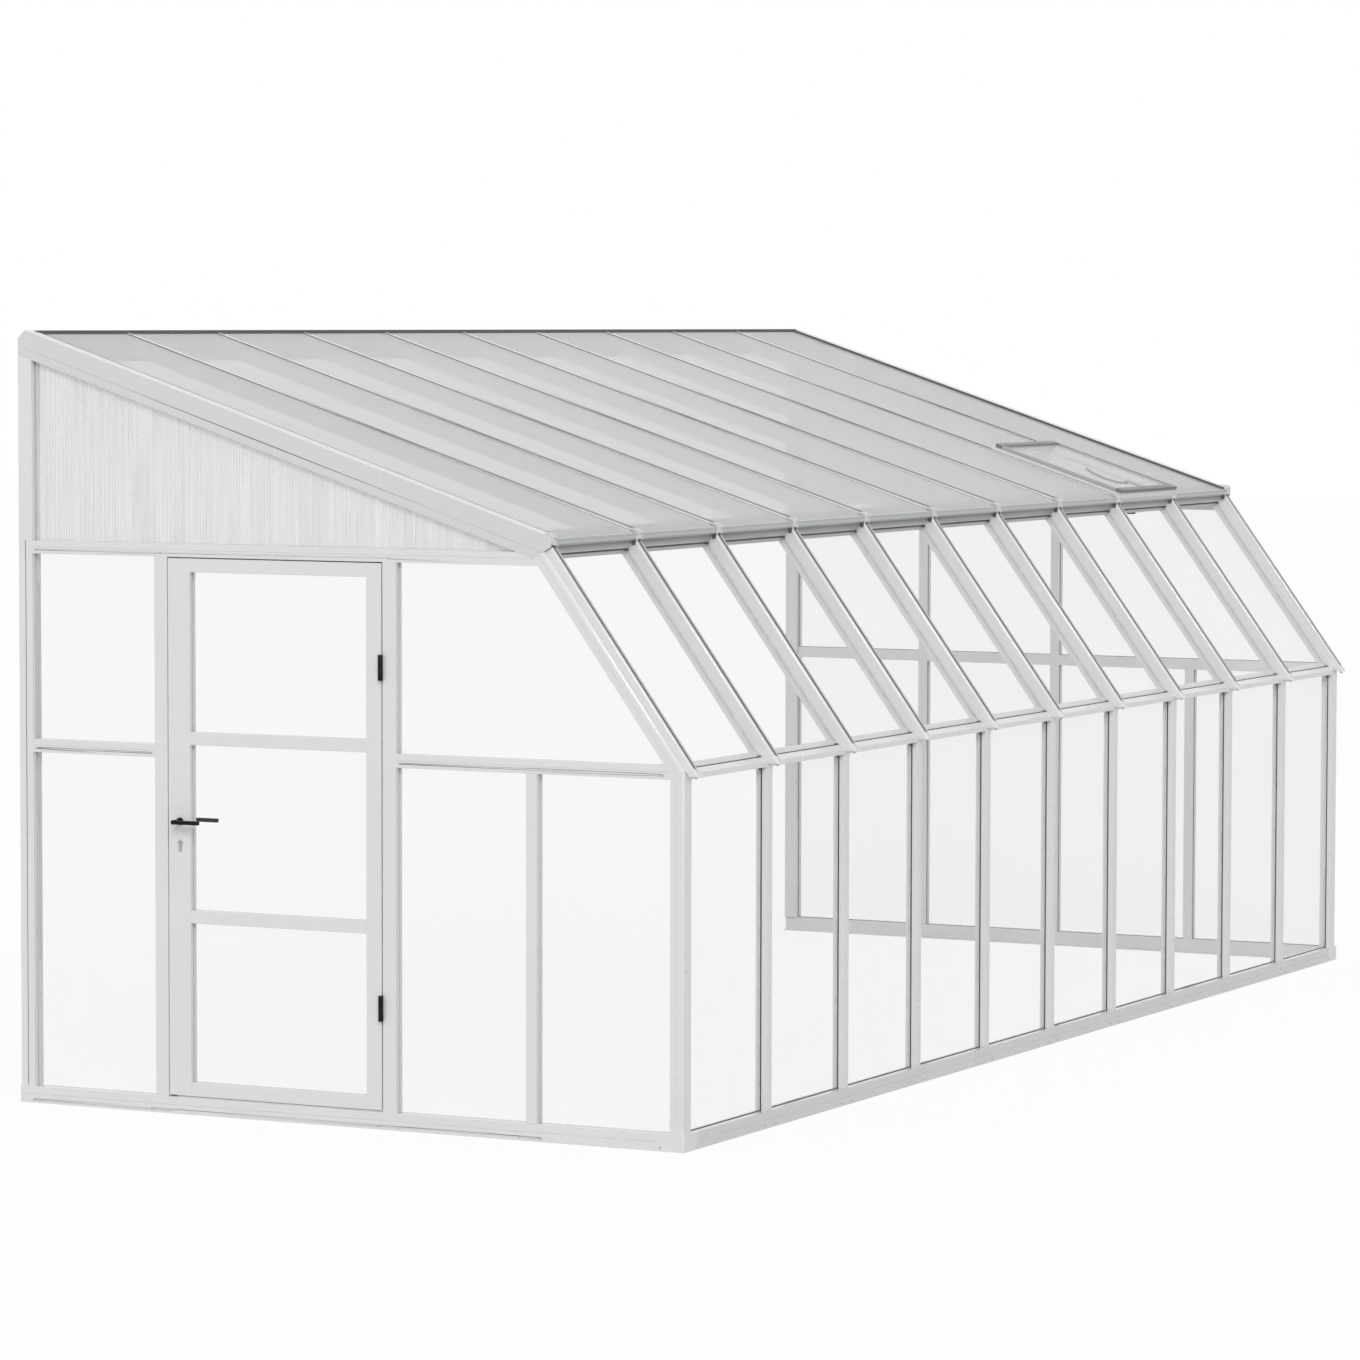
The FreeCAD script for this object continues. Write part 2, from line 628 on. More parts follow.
def gable_rail(outline, low, high, top_groove, seam=True):
    """Cross rail with a groove above and below, from its outline in y and z."""
    body = along_x(outline, 0, FRAME_D)
    ends = [p[0] for p in outline]
    y0, y1 = min(ends) - 1, max(ends) + 1
    cuts = [box(GROOVE_OUT, GROOVE_IN, y0, y1, low - 1, low + GROOVE_DEEP)]
    cuts.append(box(GROOVE_OUT, GROOVE_OUT + top_groove, y0, y1, high - GROOVE_DEEP, high + 1))
    middle = (low + high) / 2
    cuts.append(box(-1, LINE_DEEP, y0, y1, middle - LINE_W / 2, middle + LINE_W / 2))
    cuts.append(box(SKIN, GROOVE_OUT - SKIN, y0, y1, low + SKIN, high - SKIN))
    return body.cut(cuts)


def slant_end(low, high):
    """Right end of a rail that meets the corner post and the slanted bar."""
    bend = eave_z(CORNER_D, END_BAR_D)
    if high <= JOINT_END[1]:
        return [(CORNER_D, low), (CORNER_D, bend), (eave_y(high, END_BAR_D), high)]
    return [(eave_y(low, END_BAR_D), low), JOINT_END, (roof_y(high, END_RAFTER_D), high)]


def mid_rail(y0, y1):
    return gable_rail(rect(y0, y1, MID_RAIL_Z, MID_TOP), MID_RAIL_Z, MID_TOP, GROOVE_W)


def front_mid_rail(y1):
    outline = slant_end(MID_RAIL_Z, MID_TOP) + [(y1, MID_TOP), (y1, MID_RAIL_Z)]
    return gable_rail(outline, MID_RAIL_Z, MID_TOP, GROOVE_W)


def head_rail():
    outline = slant_end(HEAD_RAIL_Z, HEAD_TOP) + [(WALL_FACE, HEAD_TOP), (WALL_FACE, HEAD_RAIL_Z)]
    return gable_rail(outline, HEAD_RAIL_Z, HEAD_TOP, PANEL_DOWN)


def door_head_rail():
    stop = box(FRAME_D - STOP_T, FRAME_D, HINGE_JAMB_END, LOCK_JAMB_Y, HEAD_RAIL_Z - STOP_IN, HEAD_RAIL_Z)
    filler = box(0, FRAME_D, HINGE_JAMB_END, LOCK_JAMB_Y, HEAD_RAIL_Z, HEAD_RAIL_Z + GROOVE_DEEP)
    line = box(SKIN, GROOVE_OUT - SKIN, HINGE_JAMB_END, LOCK_JAMB_Y, HEAD_RAIL_Z + SKIN, HEAD_TOP)
    return head_rail().fuse([filler.cut(line), stop]).removeSplitter()


def jamb(y0, pane_side, door_side):
    """Door post with a pane groove on one side and a stop fin on the other."""
    body = box(0, FRAME_D, y0, y0 + JAMB_W, SILL_H, HEAD_RAIL_Z)
    step = 1 if pane_side > door_side else -1
    groove = sorted((pane_side + step, pane_side - step * GROOVE_DEEP))
    fin = sorted((door_side, door_side - step * STOP_IN))
    stop = box(FRAME_D - STOP_T, FRAME_D, fin[0], fin[1], SILL_H, HEAD_RAIL_Z - STOP_IN)
    cut = box(GROOVE_OUT, GROOVE_IN, groove[0], groove[1], 0, FAR)
    hollow = sorted((door_side + step * 2 * SKIN, pane_side - step * (GROOVE_DEEP + SKIN)))
    tube = box(SKIN, FRAME_D - SKIN, hollow[0], hollow[1], 0, FAR)
    return body.fuse(stop).removeSplitter().cut([cut, tube])


def mullion(centre, top):
    bar = h_bar(POST_W, FRAME_D, GROOVE_OUT, GROOVE_IN, top - SILL_H)
    return moved(to_door_end(bar), y=centre, z=SILL_H)


def gable_pane(y0, y1, z0, z1):
    outline = rect(y0 - REACH, y1 + REACH, z0 - REACH, z1 + REACH)
    return along_x(outline, GROOVE_IN - PANE_T, GROOVE_IN)


def slant_pane(y1):
    low, high = MID_TOP - REACH, HEAD_RAIL_Z + REACH
    t = END_BAR_D - REACH
    outline = [(y1 + REACH, low), (y1 + REACH, high), (eave_y(high, t), high), (eave_y(low, t), low)]
    return along_x(outline, GROOVE_IN - PANE_T, GROOVE_IN)


def gable_panel():
    low = HEAD_TOP - PANEL_IN
    t = END_RAFTER_D - PANEL_IN
    back = WALL_FACE + PANEL_IN
    front = roof_y(low, t)
    x0 = GROOVE_OUT + PANEL_DOWN - PANEL_T
    sheet = moved(to_door_end(twin_wall(front, back, x0, roof_z(back, t) - low)), z=low)
    outline = [(front, low), (back, low), (back, roof_z(back, t))]
    return sheet.common(along_x(outline, x0 - 1, x0 + PANEL_T + 1))


DOOR_MULLION = (CORNER_D + HINGE_JAMB_Y) / 2
HALF = POST_W / 2


def door_end_panes():
    panes = [gable_pane(LOCK_JAMB_END, WALL_FACE, SILL_H, MID_RAIL_Z)]
    panes.append(gable_pane(LOCK_JAMB_END, WALL_FACE, MID_TOP, HEAD_RAIL_Z))
    panes.append(gable_pane(DOOR_MULLION + HALF, HINGE_JAMB_Y, SILL_H, MID_RAIL_Z))
    panes.append(gable_pane(CORNER_D, DOOR_MULLION - HALF, SILL_H, MID_RAIL_Z))
    panes.append(slant_pane(HINGE_JAMB_Y))
    return panes


def far_end_panes():
    low, middle, high = FAR_MULLIONS
    panes = [gable_pane(CORNER_D, low - HALF, SILL_H, MID_RAIL_Z)]
    panes.append(gable_pane(low + HALF, middle - HALF, SILL_H, MID_RAIL_Z))
    panes.append(slant_pane(middle - HALF))
    for left, right in ((middle + HALF, high - HALF), (high + HALF, WALL_FACE)):
        panes.append(gable_pane(left, right, SILL_H, MID_RAIL_Z))
        panes.append(gable_pane(left, right, MID_TOP, HEAD_RAIL_Z))
    return [mirrored(p) for p in panes]


def far_end_mid_rails():
    low, middle, high = FAR_MULLIONS
    rails = [front_mid_rail(middle - HALF), mid_rail(middle + HALF, high - HALF), mid_rail(high + HALF, WALL_FACE)]
    return [mirrored(r) for r in rails]


def far_end_mullions():
    low, middle, high = FAR_MULLIONS
    bars = [mullion(low, MID_RAIL_Z), mullion(middle, HEAD_RAIL_Z), mullion(high, HEAD_RAIL_Z)]
    return [mirrored(b) for b in bars]


# Door leaf

HINGE_GAP = 5.0
LOCK_GAP = 4.0
HEAD_GAP = 4.0
FLOOR_GAP = 6.0
DOOR_SEAT = 1.0
DOOR_T = FRAME_D - STOP_T - DOOR_SEAT
LOCK_STILE_W = 86.0
HINGE_STILE_W = 58.0
DOOR_TOP_H = 47.0
DOOR_BOTTOM_H = 46.0
DOOR_BAR_H = 44.0
DOOR_BARS_Z = (656.0, 1265.0)
DOOR_GROOVE = 15.0

DOOR_Y0 = HINGE_JAMB_END + HINGE_GAP
DOOR_Y1 = LOCK_JAMB_Y - LOCK_GAP
DOOR_Z0 = SILL_H + FLOOR_GAP
DOOR_Z1 = HEAD_RAIL_Z - HEAD_GAP
STILE_IN = DOOR_Y0 + HINGE_STILE_W
LOCK_IN = DOOR_Y1 - LOCK_STILE_W
DOOR_GROOVE_IN = DOOR_GROOVE + GROOVE_W
DOOR_LIGHTS_Z = (DOOR_Z0 + DOOR_BOTTOM_H,) + DOOR_BARS_Z + (DOOR_Z1 - DOOR_TOP_H,)

# Hinges, in the joint between door and jamb
HINGE_Z = (365.0, 1508.0)
HINGE_H = 86.0
HINGE_OUT = 10.0
KNUCKLE_R = 8.5
PIN_R = 4.0
PIN_FIT = 0.05
LEAF_T = 2.0
LEAF_X = 34.0
KNUCKLE_GAP = 0.4
SCREW_R = 2.0
SCREW_HEAD_R = 3.5
SCREW_HEAD_T = 1.6
SCREW_LEN = 12.0
SCREW_FIT = 0.35
HINGE_Y = HINGE_JAMB_END + HINGE_GAP / 2

# Lock and levers
BACKSET = 46.0
LEVER_Z = 1003.0
LEVER_LEN = 100.0
LEVER_BAR = 13.0
LEVER_OUT = 50.0
NECK_R = 8.0
ROSE_R = 13.0
ROSE_T = 6.0
SPINDLE = 8.0
CASE_T = 18.0
CASE_LOW = 110.0
CASE_HIGH = 35.0
CASE_BACK = 28.0
FOREND_T = 2.0
FOREND_W = 24.0
FOREND_OVER = 20.0
BOLT_T = 12.0
BOLT_H = 24.0
BOLT_TAIL = 28.0
LATCH_OUT = 11.0
DEAD_THROW = 14.0
BOLT_FIT = 0.4
CYLINDER_DROP = 73.0
CYLINDER_R = 8.5
CYLINDER_LOBE = 5.0
CYLINDER_TAIL = 25.0
CYLINDER_PROUD = 3.0
PLUG_R = 6.5
PLUG_FIT = 0.05
KEY_SLOT = 1.6
STRIKE_T = 2.0
STRIKE_W = 26.0

DOOR_MID = DOOR_T / 2
LEVER_Y = DOOR_Y1 - BACKSET
CYLINDER_Z = LEVER_Z - CYLINDER_DROP


def stile(y0, y1, groove_side):
    body = box(0, DOOR_T, y0, y1, DOOR_Z0, DOOR_Z1)
    inner = y1 if groove_side > 0 else y0
    span = sorted((inner + groove_side, inner - groove_side * GROOVE_DEEP))
    return body.cut(box(DOOR_GROOVE, DOOR_GROOVE_IN, span[0], span[1], 0, FAR))


def door_hinge_stile():
    body = stile(DOOR_Y0, STILE_IN, 1)
    tube = box(SKIN, DOOR_T - SKIN, DOOR_Y0 + 2 * SKIN, STILE_IN - GROOVE_DEEP - SKIN, 0, FAR)
    return body.cut([tube] + [hinge_hole(z, x, 1) for z, x in hinge_screw_spots()])


def door_rail(z0, z1, low_groove, high_groove):
    body = box(0, DOOR_T, STILE_IN, LOCK_IN, z0, z1)
    cuts = [box(SKIN, DOOR_GROOVE - SKIN, STILE_IN - 1, LOCK_IN + 1, z0 + SKIN, z1 - SKIN)]
    if low_groove:
        cuts.append(box(DOOR_GROOVE, DOOR_GROOVE_IN, STILE_IN - 1, LOCK_IN + 1, z0 - 1, z0 + GROOVE_DEEP))
    if high_groove:
        cuts.append(box(DOOR_GROOVE, DOOR_GROOVE_IN, STILE_IN - 1, LOCK_IN + 1, z1 - GROOVE_DEEP, z1 + 1))
    return body.cut(cuts)


def door_panes():
    panes = []
    lows = (DOOR_LIGHTS_Z[0],) + tuple(z + DOOR_BAR_H for z in DOOR_BARS_Z)
    highs = DOOR_LIGHTS_Z[1:]
    for low, high in zip(lows, highs):
        outline = rect(STILE_IN - REACH, LOCK_IN + REACH, low - REACH, high + REACH)
        panes.append(along_x(outline, DOOR_GROOVE_IN - PANE_T, DOOR_GROOVE_IN))
    return panes


def hinge_screw_spots():
    spots = []
    for z in HINGE_Z:
        for k, share in enumerate((0.16, 0.5, 0.84)):
            spots.append((z + share * HINGE_H, LEAF_X * (0.35 if k % 2 else 0.65)))
    return spots


def hinge_hole(z, x, side):
    """Clearance hole for a hinge screw in the jamb or in the door edge."""
    start = HINGE_Y + side * (HINGE_GAP / 2 - 1)
    return rod(V(x, start, z), V(0, side, 0), SCREW_R + SCREW_FIT, SCREW_LEN + 2)


def hinge_screw(z, x, side):
    top = HINGE_Y + side * (HINGE_GAP / 2 - LEAF_T)
    head = rod(V(x, top, z), V(0, side, 0), SCREW_HEAD_R, SCREW_HEAD_T)
    return head.fuse(rod(V(x, top, z), V(0, side, 0), SCREW_R, SCREW_LEN))


def hinge_leaf(z, side):
    """Plate, tab and knuckle of one hinge half; side is -1 on the jamb."""
    middle = z + HINGE_H / 2
    low, high = (z, middle) if side < 0 else (middle + KNUCKLE_GAP, z + HINGE_H)
    face_y = sorted((HINGE_Y + side * HINGE_GAP / 2, HINGE_Y + side * (HINGE_GAP / 2 - LEAF_T)))
    near = KNUCKLE_R + 2 * KNUCKLE_GAP - HINGE_OUT
    plate = box(near, LEAF_X, face_y[0], face_y[1], z, z + HINGE_H)
    tab = box(-HINGE_OUT, near, face_y[0], face_y[1], low, high)
    knuckle = rod(V(-HINGE_OUT, HINGE_Y, low), V(0, 0, 1), KNUCKLE_R, high - low)
    body = plate.fuse([tab, knuckle]).removeSplitter()
    for spot_z, spot_x in hinge_screw_spots():
        start = V(spot_x, HINGE_Y - HINGE_GAP, spot_z)
        body = body.cut(rod(start, V(0, 1, 0), SCREW_HEAD_R + SCREW_FIT, 2 * HINGE_GAP))
    if side < 0:
        return body.fuse(rod(V(-HINGE_OUT, HINGE_Y, z), V(0, 0, 1), PIN_R, HINGE_H - 3 * LEAF_T))
    return body.cut(rod(V(-HINGE_OUT, HINGE_Y, z), V(0, 0, 1), PIN_R + PIN_FIT, HINGE_H + 1))


# Lock

def euro_body(grow, x0, x1):
    """Euro cylinder outline: a round top and a narrow tail below it."""
    top = rod(V(x0, LEVER_Y, CYLINDER_Z), V(1, 0, 0), CYLINDER_R + grow, x1 - x0)
    half = CYLINDER_LOBE + grow
    web = box(x0, x1, LEVER_Y - half, LEVER_Y + half, CYLINDER_Z - CYLINDER_TAIL, CYLINDER_Z)
    foot = rod(V(x0, LEVER_Y, CYLINDER_Z - CYLINDER_TAIL), V(1, 0, 0), half, x1 - x0)
    return top.fuse([web, foot])


def bolt_slot(z, grow):
    half = BOLT_T / 2 + grow
    tall = BOLT_H / 2 + grow
    start = DOOR_Y1 - BOLT_TAIL - LATCH_OUT / 2 - LATCH_OUT
    return box(DOOR_MID - half, DOOR_MID + half, start, LOCK_JAMB_Y + DEAD_THROW + LATCH_OUT, z - tall, z + tall)


LATCH_Z = LEVER_Z
DEAD_Z = CYLINDER_Z + 10.0


def case_block(grow):
    half = CASE_T / 2 + grow
    low, high = LEVER_Z - CASE_LOW - grow, LEVER_Z + CASE_HIGH + grow
    body = box(DOOR_MID - half, DOOR_MID + half, LEVER_Y - CASE_BACK - grow, DOOR_Y1, low, high)
    half = FOREND_W / 2 + grow
    low, high = low - FOREND_OVER, high + FOREND_OVER
    plate = box(DOOR_MID - half, DOOR_MID + half, DOOR_Y1 - FOREND_T - grow, DOOR_Y1, low, high)
    return body.fuse(plate).removeSplitter()


def lock_case():
    hub = rod(V(-1, LEVER_Y, LEVER_Z), V(1, 0, 0), SPINDLE, DOOR_T + 2)
    slots = [bolt_slot(LATCH_Z, BOLT_FIT), bolt_slot(DEAD_Z, BOLT_FIT)]
    return case_block(0).cut([hub, euro_body(SLIP, -1, DOOR_T + 1)] + slots)


def door_lock_stile():
    body = stile(LOCK_IN, DOOR_Y1, -1)
    hub = rod(V(-1, LEVER_Y, LEVER_Z), V(1, 0, 0), SPINDLE, DOOR_T + 2)
    return body.cut([case_block(SLIP), hub, euro_body(SLIP, -1, DOOR_T + 1)])


def latch_bolt():
    half = BOLT_T / 2
    y0 = DOOR_Y1 - BOLT_TAIL
    y1 = DOOR_Y1 + LATCH_OUT
    nose = [(DOOR_MID - half, y0), (DOOR_MID + half, y0), (DOOR_MID + half, DOOR_Y1)]
    nose += [(DOOR_MID - half / 2, y1), (DOOR_MID - half, y1)]
    return along_z(nose, LATCH_Z - BOLT_H / 2, LATCH_Z + BOLT_H / 2)


def dead_bolt():
    half = BOLT_T / 2
    y0 = DOOR_Y1 - BOLT_TAIL
    return box(DOOR_MID - half, DOOR_MID + half, y0, DOOR_Y1, DEAD_Z - BOLT_H / 2, DEAD_Z + BOLT_H / 2)


def lock_cylinder():
    body = euro_body(0, -CYLINDER_PROUD, DOOR_T + CYLINDER_PROUD)
    return body.cut(rod(V(-CYLINDER_PROUD - 1, LEVER_Y, CYLINDER_Z), V(1, 0, 0), PLUG_R + PLUG_FIT, DOOR_MID))


def cylinder_plug():
    plug = rod(V(-CYLINDER_PROUD, LEVER_Y, CYLINDER_Z), V(1, 0, 0), PLUG_R, DOOR_MID - 1)
    half = KEY_SLOT / 2
    tall = PLUG_R - KEY_SLOT
    slot = box(-CYLINDER_PROUD - 1, DOOR_MID / 2, LEVER_Y - half, LEVER_Y + half, CYLINDER_Z - tall, CYLINDER_Z + tall)
    return plug.cut(slot)


def lever_rose():
    start = V(-ROSE_T, LEVER_Y, LEVER_Z)
    return rod(start, V(1, 0, 0), ROSE_R, ROSE_T).cut(rod(start, V(1, 0, 0), SPINDLE, ROSE_T))


def through_door(shape):
    """The same piece on the room side of the door."""
    return shape.mirror(V(DOOR_MID, 0, 0), V(1, 0, 0))


def outer_lever():
    half = LEVER_BAR / 2
    neck = rod(V(-LEVER_OUT, LEVER_Y, LEVER_Z), V(1, 0, 0), NECK_R, LEVER_OUT - ROSE_T - KNUCKLE_GAP)
    grip = box(-LEVER_OUT, LEVER_BAR - LEVER_OUT, LEVER_Y - LEVER_LEN, LEVER_Y, LEVER_Z - half, LEVER_Z + half)
    tip = [e for e in grip.Edges if all(v.Point.y < LEVER_Y - 1 for v in e.Vertexes)]
    grip = grip.makeFillet(LEVER_BAR / 5, tip)
    side = SPINDLE / 2 + SLIP
    bore = box(LEVER_BAR - LEVER_OUT, 1, LEVER_Y - side, LEVER_Y + side, LEVER_Z - side, LEVER_Z + side)
    return neck.fuse(grip).removeSplitter().cut(bore)


def lever_spindle():
    side = SPINDLE / 2
    end = LEVER_OUT - LEVER_BAR
    return box(-end, DOOR_T + end, LEVER_Y - side, LEVER_Y + side, LEVER_Z - side, LEVER_Z + side)


def strike_block(grow):
    half = STRIKE_W / 2 + grow
    low = DEAD_Z - BOLT_H - grow
    high = LATCH_Z + BOLT_H + grow
    return box(DOOR_MID - half, DOOR_MID + half, LOCK_JAMB_Y, LOCK_JAMB_Y + STRIKE_T + grow, low, high)


def strike_plate():
    return strike_block(0).cut([bolt_slot(LATCH_Z, 2 * BOLT_FIT), bolt_slot(DEAD_Z, 2 * BOLT_FIT)])


def door_lock_jamb():
    body = jamb(LOCK_JAMB_Y, LOCK_JAMB_END, LOCK_JAMB_Y)
    return body.cut([strike_block(SLIP), bolt_slot(LATCH_Z, 2 * BOLT_FIT), bolt_slot(DEAD_Z, 2 * BOLT_FIT)])


def door_hinge_jamb():
    body = jamb(HINGE_JAMB_Y, HINGE_JAMB_Y, HINGE_JAMB_END)
    return body.cut([hinge_hole(z, x, -1) for z, x in hinge_screw_spots()])


# Roof vent: a curb between two rafters, a hinged sash and its stay

VENT_LEN = 600.0
CURB_UP = 10.0
CURB_W = 22.0
SASH_OVER = 3.0
SASH_BACK = 16.0
SASH_T = 14.0
SASH_SIDE_W = 10.0
SASH_END_W = 30.0
SHEET_IN = 5.0
SASH_GAP = 1.0
SASH_DROP = 6.0
VENT_PIN_R = 2.5
VENT_EYE_R = 5.0
VENT_EYE_LEN = 24.0
VENT_CHEEK = 4.0
VENT_HINGE_AT = 12.0
VENT_HINGES = (-180.0, 180.0)
STAY_SHIFT = 40.0
STAY_LEN = 190.0
STAY_W = 9.0
STAY_BOW = 14.0
STAY_T = 8.0
STAY_CLEAR = 10.0
STRAP_T = 2.5
STRAP_W = 26.0
PEG_X = 355.0
PEG_LEN = 77.0
PEG_R = 4.0
PEG_DROP = 43.0
PEG_FOOT = 20.0
PEG_BACK = 10.0

VENT_LEFT, VENT_RIGHT = cover_edges(VENT_BAY)
VENT_X = (VENT_LEFT + VENT_RIGHT) / 2
SASH_LOW = -CURB_UP - SASH_GAP
SASH_HIGH = SASH_LOW - SASH_T
SASH_START = PANEL_START - SASH_DROP
SASH_END = PANEL_START + VENT_LEN - SASH_BACK
SASH_LEN = SASH_END - SASH_START
VENT_PIN_S = SASH_END + VENT_HINGE_AT
VENT_PIN_T = (SASH_LOW + SASH_HIGH) / 2
STAY_X = VENT_X + STAY_SHIFT
STAY_T0 = VENT_PIN_T + PANEL_DOWN / 2 + STRAP_T + VENT_EYE_R + 1
STAY_S = (NOSE_Y + EAVE_RAIL_LEN + STAY_CLEAR - STAY_T0 * RS) / RC


def ring(x0, x1, t0, t1, s0, s1, width):
    hole = box(x0 + width, x1 - width, t0 - 1, t1 + 1, s0 + width, s1 - width)
    return box(x0, x1, t0, t1, s0, s1).cut(hole)


def vent_curb():
    end = PANEL_START + VENT_LEN
    return on_roof(ring(VENT_LEFT + SLIP, VENT_RIGHT - SLIP, -CURB_UP, PANEL_LOW, PANEL_START, end, CURB_W))


def sash_span():
    return VENT_LEFT - SASH_OVER, VENT_RIGHT + SASH_OVER


def vent_eye(x, radius, length):
    return rod(V(x - length / 2, VENT_PIN_T, VENT_PIN_S), V(1, 0, 0), radius, length)


SHEET_GROOVE = SHEET_IN + 1
SHEET_HIGH = VENT_PIN_T - PANEL_DOWN / 2
SHEET_LOW = SHEET_HIGH + PANEL_DOWN


def sheet_groove():
    """Slot round the inside of the sash for its twin-wall sheet."""
    x0, x1 = sash_span()
    side = SASH_SIDE_W - SHEET_GROOVE
    end = SASH_END_W - SHEET_GROOVE
    return box(x0 + side, x1 - side, SHEET_HIGH, SHEET_LOW, SASH_START + end, SASH_END - end)


def vent_sash_sides():
    x0, x1 = sash_span()
    s0, s1 = SASH_START + SASH_END_W, SASH_END - SASH_END_W
    bars = [box(x0, x0 + SASH_SIDE_W, SASH_HIGH, SASH_LOW, s0, s1)]
    bars.append(box(x1 - SASH_SIDE_W, x1, SASH_HIGH, SASH_LOW, s0, s1))
    return [on_roof(bar.cut(sheet_groove())) for bar in bars]


def vent_sash_rails():
    x0, x1 = sash_span()
    low = box(x0, x1, SASH_HIGH, SASH_LOW, SASH_START, SASH_START + SASH_END_W).cut(sheet_groove())
    high = box(x0, x1, SASH_HIGH, SASH_LOW, SASH_END - SASH_END_W, SASH_END).cut(sheet_groove())
    for offset in VENT_HINGES:
        x = VENT_X + offset
        half = VENT_EYE_LEN / 2
        tab = box(x - half, x + half, VENT_PIN_T - VENT_PIN_R, VENT_PIN_T + VENT_PIN_R, SASH_END - 1, VENT_PIN_S)
        eye = vent_eye(x, VENT_EYE_R, VENT_EYE_LEN)
        high = high.fuse([tab, eye]).removeSplitter().cut(vent_eye(x, VENT_PIN_R + PIN_FIT, VENT_EYE_LEN + 2))
    return [on_roof(low), on_roof(high)]


def vent_sash_panel():
    x0, x1 = sash_span()
    side = SASH_SIDE_W - SHEET_IN
    end = SASH_END_W - SHEET_IN
    sheet = twin_wall(x0 + side, x1 - side, SHEET_LOW - PANEL_T, SASH_LEN - 2 * end)
    return on_roof(moved(sheet, z=SASH_START + end))


def vent_hinge_bracket(offset):
    x = VENT_X + offset
    half = VENT_EYE_LEN / 2 + SLIP
    reach = half + VENT_CHEEK
    s0, s1 = VENT_PIN_S - VENT_EYE_R, PANEL_START + VENT_LEN
    high = VENT_PIN_T - VENT_EYE_R
    cheeks = [box(x - reach, x - half, high, -CURB_UP, s0, s1), box(x + half, x + reach, high, -CURB_UP, s0, s1)]
    foot = box(x - reach, x + reach, -CURB_UP - LEAF_T, -CURB_UP, s0, s1)
    return on_roof(vent_eye(x, VENT_PIN_R, 2 * reach).fuse(cheeks + [foot]).removeSplitter())


def stay_pin(radius, length):
    return rod(V(STAY_X - length / 2, STAY_T0, STAY_S), V(1, 0, 0), radius, length)


def vent_stay_bracket():
    """Strap under the sash sheet with two cheeks that carry the stay's pin."""
    half = STRAP_W / 2
    inner = STAY_T / 2 + SLIP
    start = SASH_START + SASH_END_W
    end = STAY_S + VENT_EYE_R
    strap = box(STAY_X - half, STAY_X + half, SHEET_LOW, SHEET_LOW + STRAP_T, start, end)
    low = STAY_T0 + VENT_EYE_R
    left = box(STAY_X - half, STAY_X - inner, SHEET_LOW, low, STAY_S - VENT_EYE_R, end)
    right = box(STAY_X + inner, STAY_X + half, SHEET_LOW, low, STAY_S - VENT_EYE_R, end)
    return on_roof(strap.fuse([left, right, stay_pin(VENT_PIN_R, STRAP_W)]).removeSplitter())


def vent_stay_arm():
    x0 = STAY_X - STAY_T / 2
    half = STAY_W / 2
    points = []
    for share, bow in ((0, 0), (0.2, 0.75), (0.5, 1), (0.8, 0.75), (1, 0.1)):
        points.append((STAY_T0 + STAY_BOW * bow, STAY_S + share * STAY_LEN))
    outer = [V(x0, t - half, s) for t, s in points]
    inner = [V(x0, t + half, s) for t, s in reversed(points)]
    arm = face(outer + inner).extrude(V(STAY_T, 0, 0))
    arm = arm.fuse(stay_pin(VENT_EYE_R, STAY_T)).removeSplitter()
    return on_roof(arm.cut(stay_pin(VENT_PIN_R + PIN_FIT, STAY_T + 2)))


def vent_stay_peg():
    """Peg that hangs behind the eave rail for the stay to hook on."""
    y = NOSE_Y + EAVE_RAIL_LEN
    foot = roof_z(y, RAFTER_D)
    z = foot - PEG_DROP
    x = VENT_LEFT + PEG_X
    middle = x + PEG_LEN / 2
    half = 2 * PEG_R
    plate = box(middle - half, middle + half, y, y + STRAP_T, z - PEG_R, foot + PEG_FOOT)
    arm = box(middle - half, middle + half, y, y + PEG_BACK, z - PEG_R, z + PEG_R)
    peg = rod(V(x, y + PEG_BACK, z), V(1, 0, 0), PEG_R, PEG_LEN)
    return plate.fuse([arm, peg]).removeSplitter()


# Screws that show: base rails at each post, gable rails near their ends

PAN_R = 4.5
PAN_T = 2.5
BASE_SCREW_Z = 12.0
BASE_SCREW_OUT = 40.0
CORNER_SCREW = 82.0
RAIL_SCREW_IN = 14.0


def pan_screw(x, y, z, axis):
    """Pan head on a face, with its shank pointing along axis."""
    head = rod(V(x, y, z) - axis * PAN_T, axis, PAN_R, PAN_T)
    return head.fuse(rod(V(x, y, z), axis, SCREW_R, SCREW_LEN))


def pan_hole(x, y, z, axis):
    return rod(V(x, y, z) - axis, axis, SCREW_R + SCREW_FIT, SCREW_LEN + 2)


INTO_Y = V(0, 1, 0)
INTO_X = V(1, 0, 0)


def base_screw_spots():
    """Screws through the front face of the base rails."""
    spots = [(CORNER_SCREW, -SILL_PROUD, BASE_SCREW_Z, INTO_Y)]
    spots.append((LENGTH - CORNER_SCREW, -SILL_PROUD, BASE_SCREW_Z, INTO_Y))
    for i in range(1, BAY_COUNT):
        for side in (-1, 1):
            spots.append((line_x(i) + side * BASE_SCREW_OUT, -SILL_PROUD, BASE_SCREW_Z, INTO_Y))
    return spots


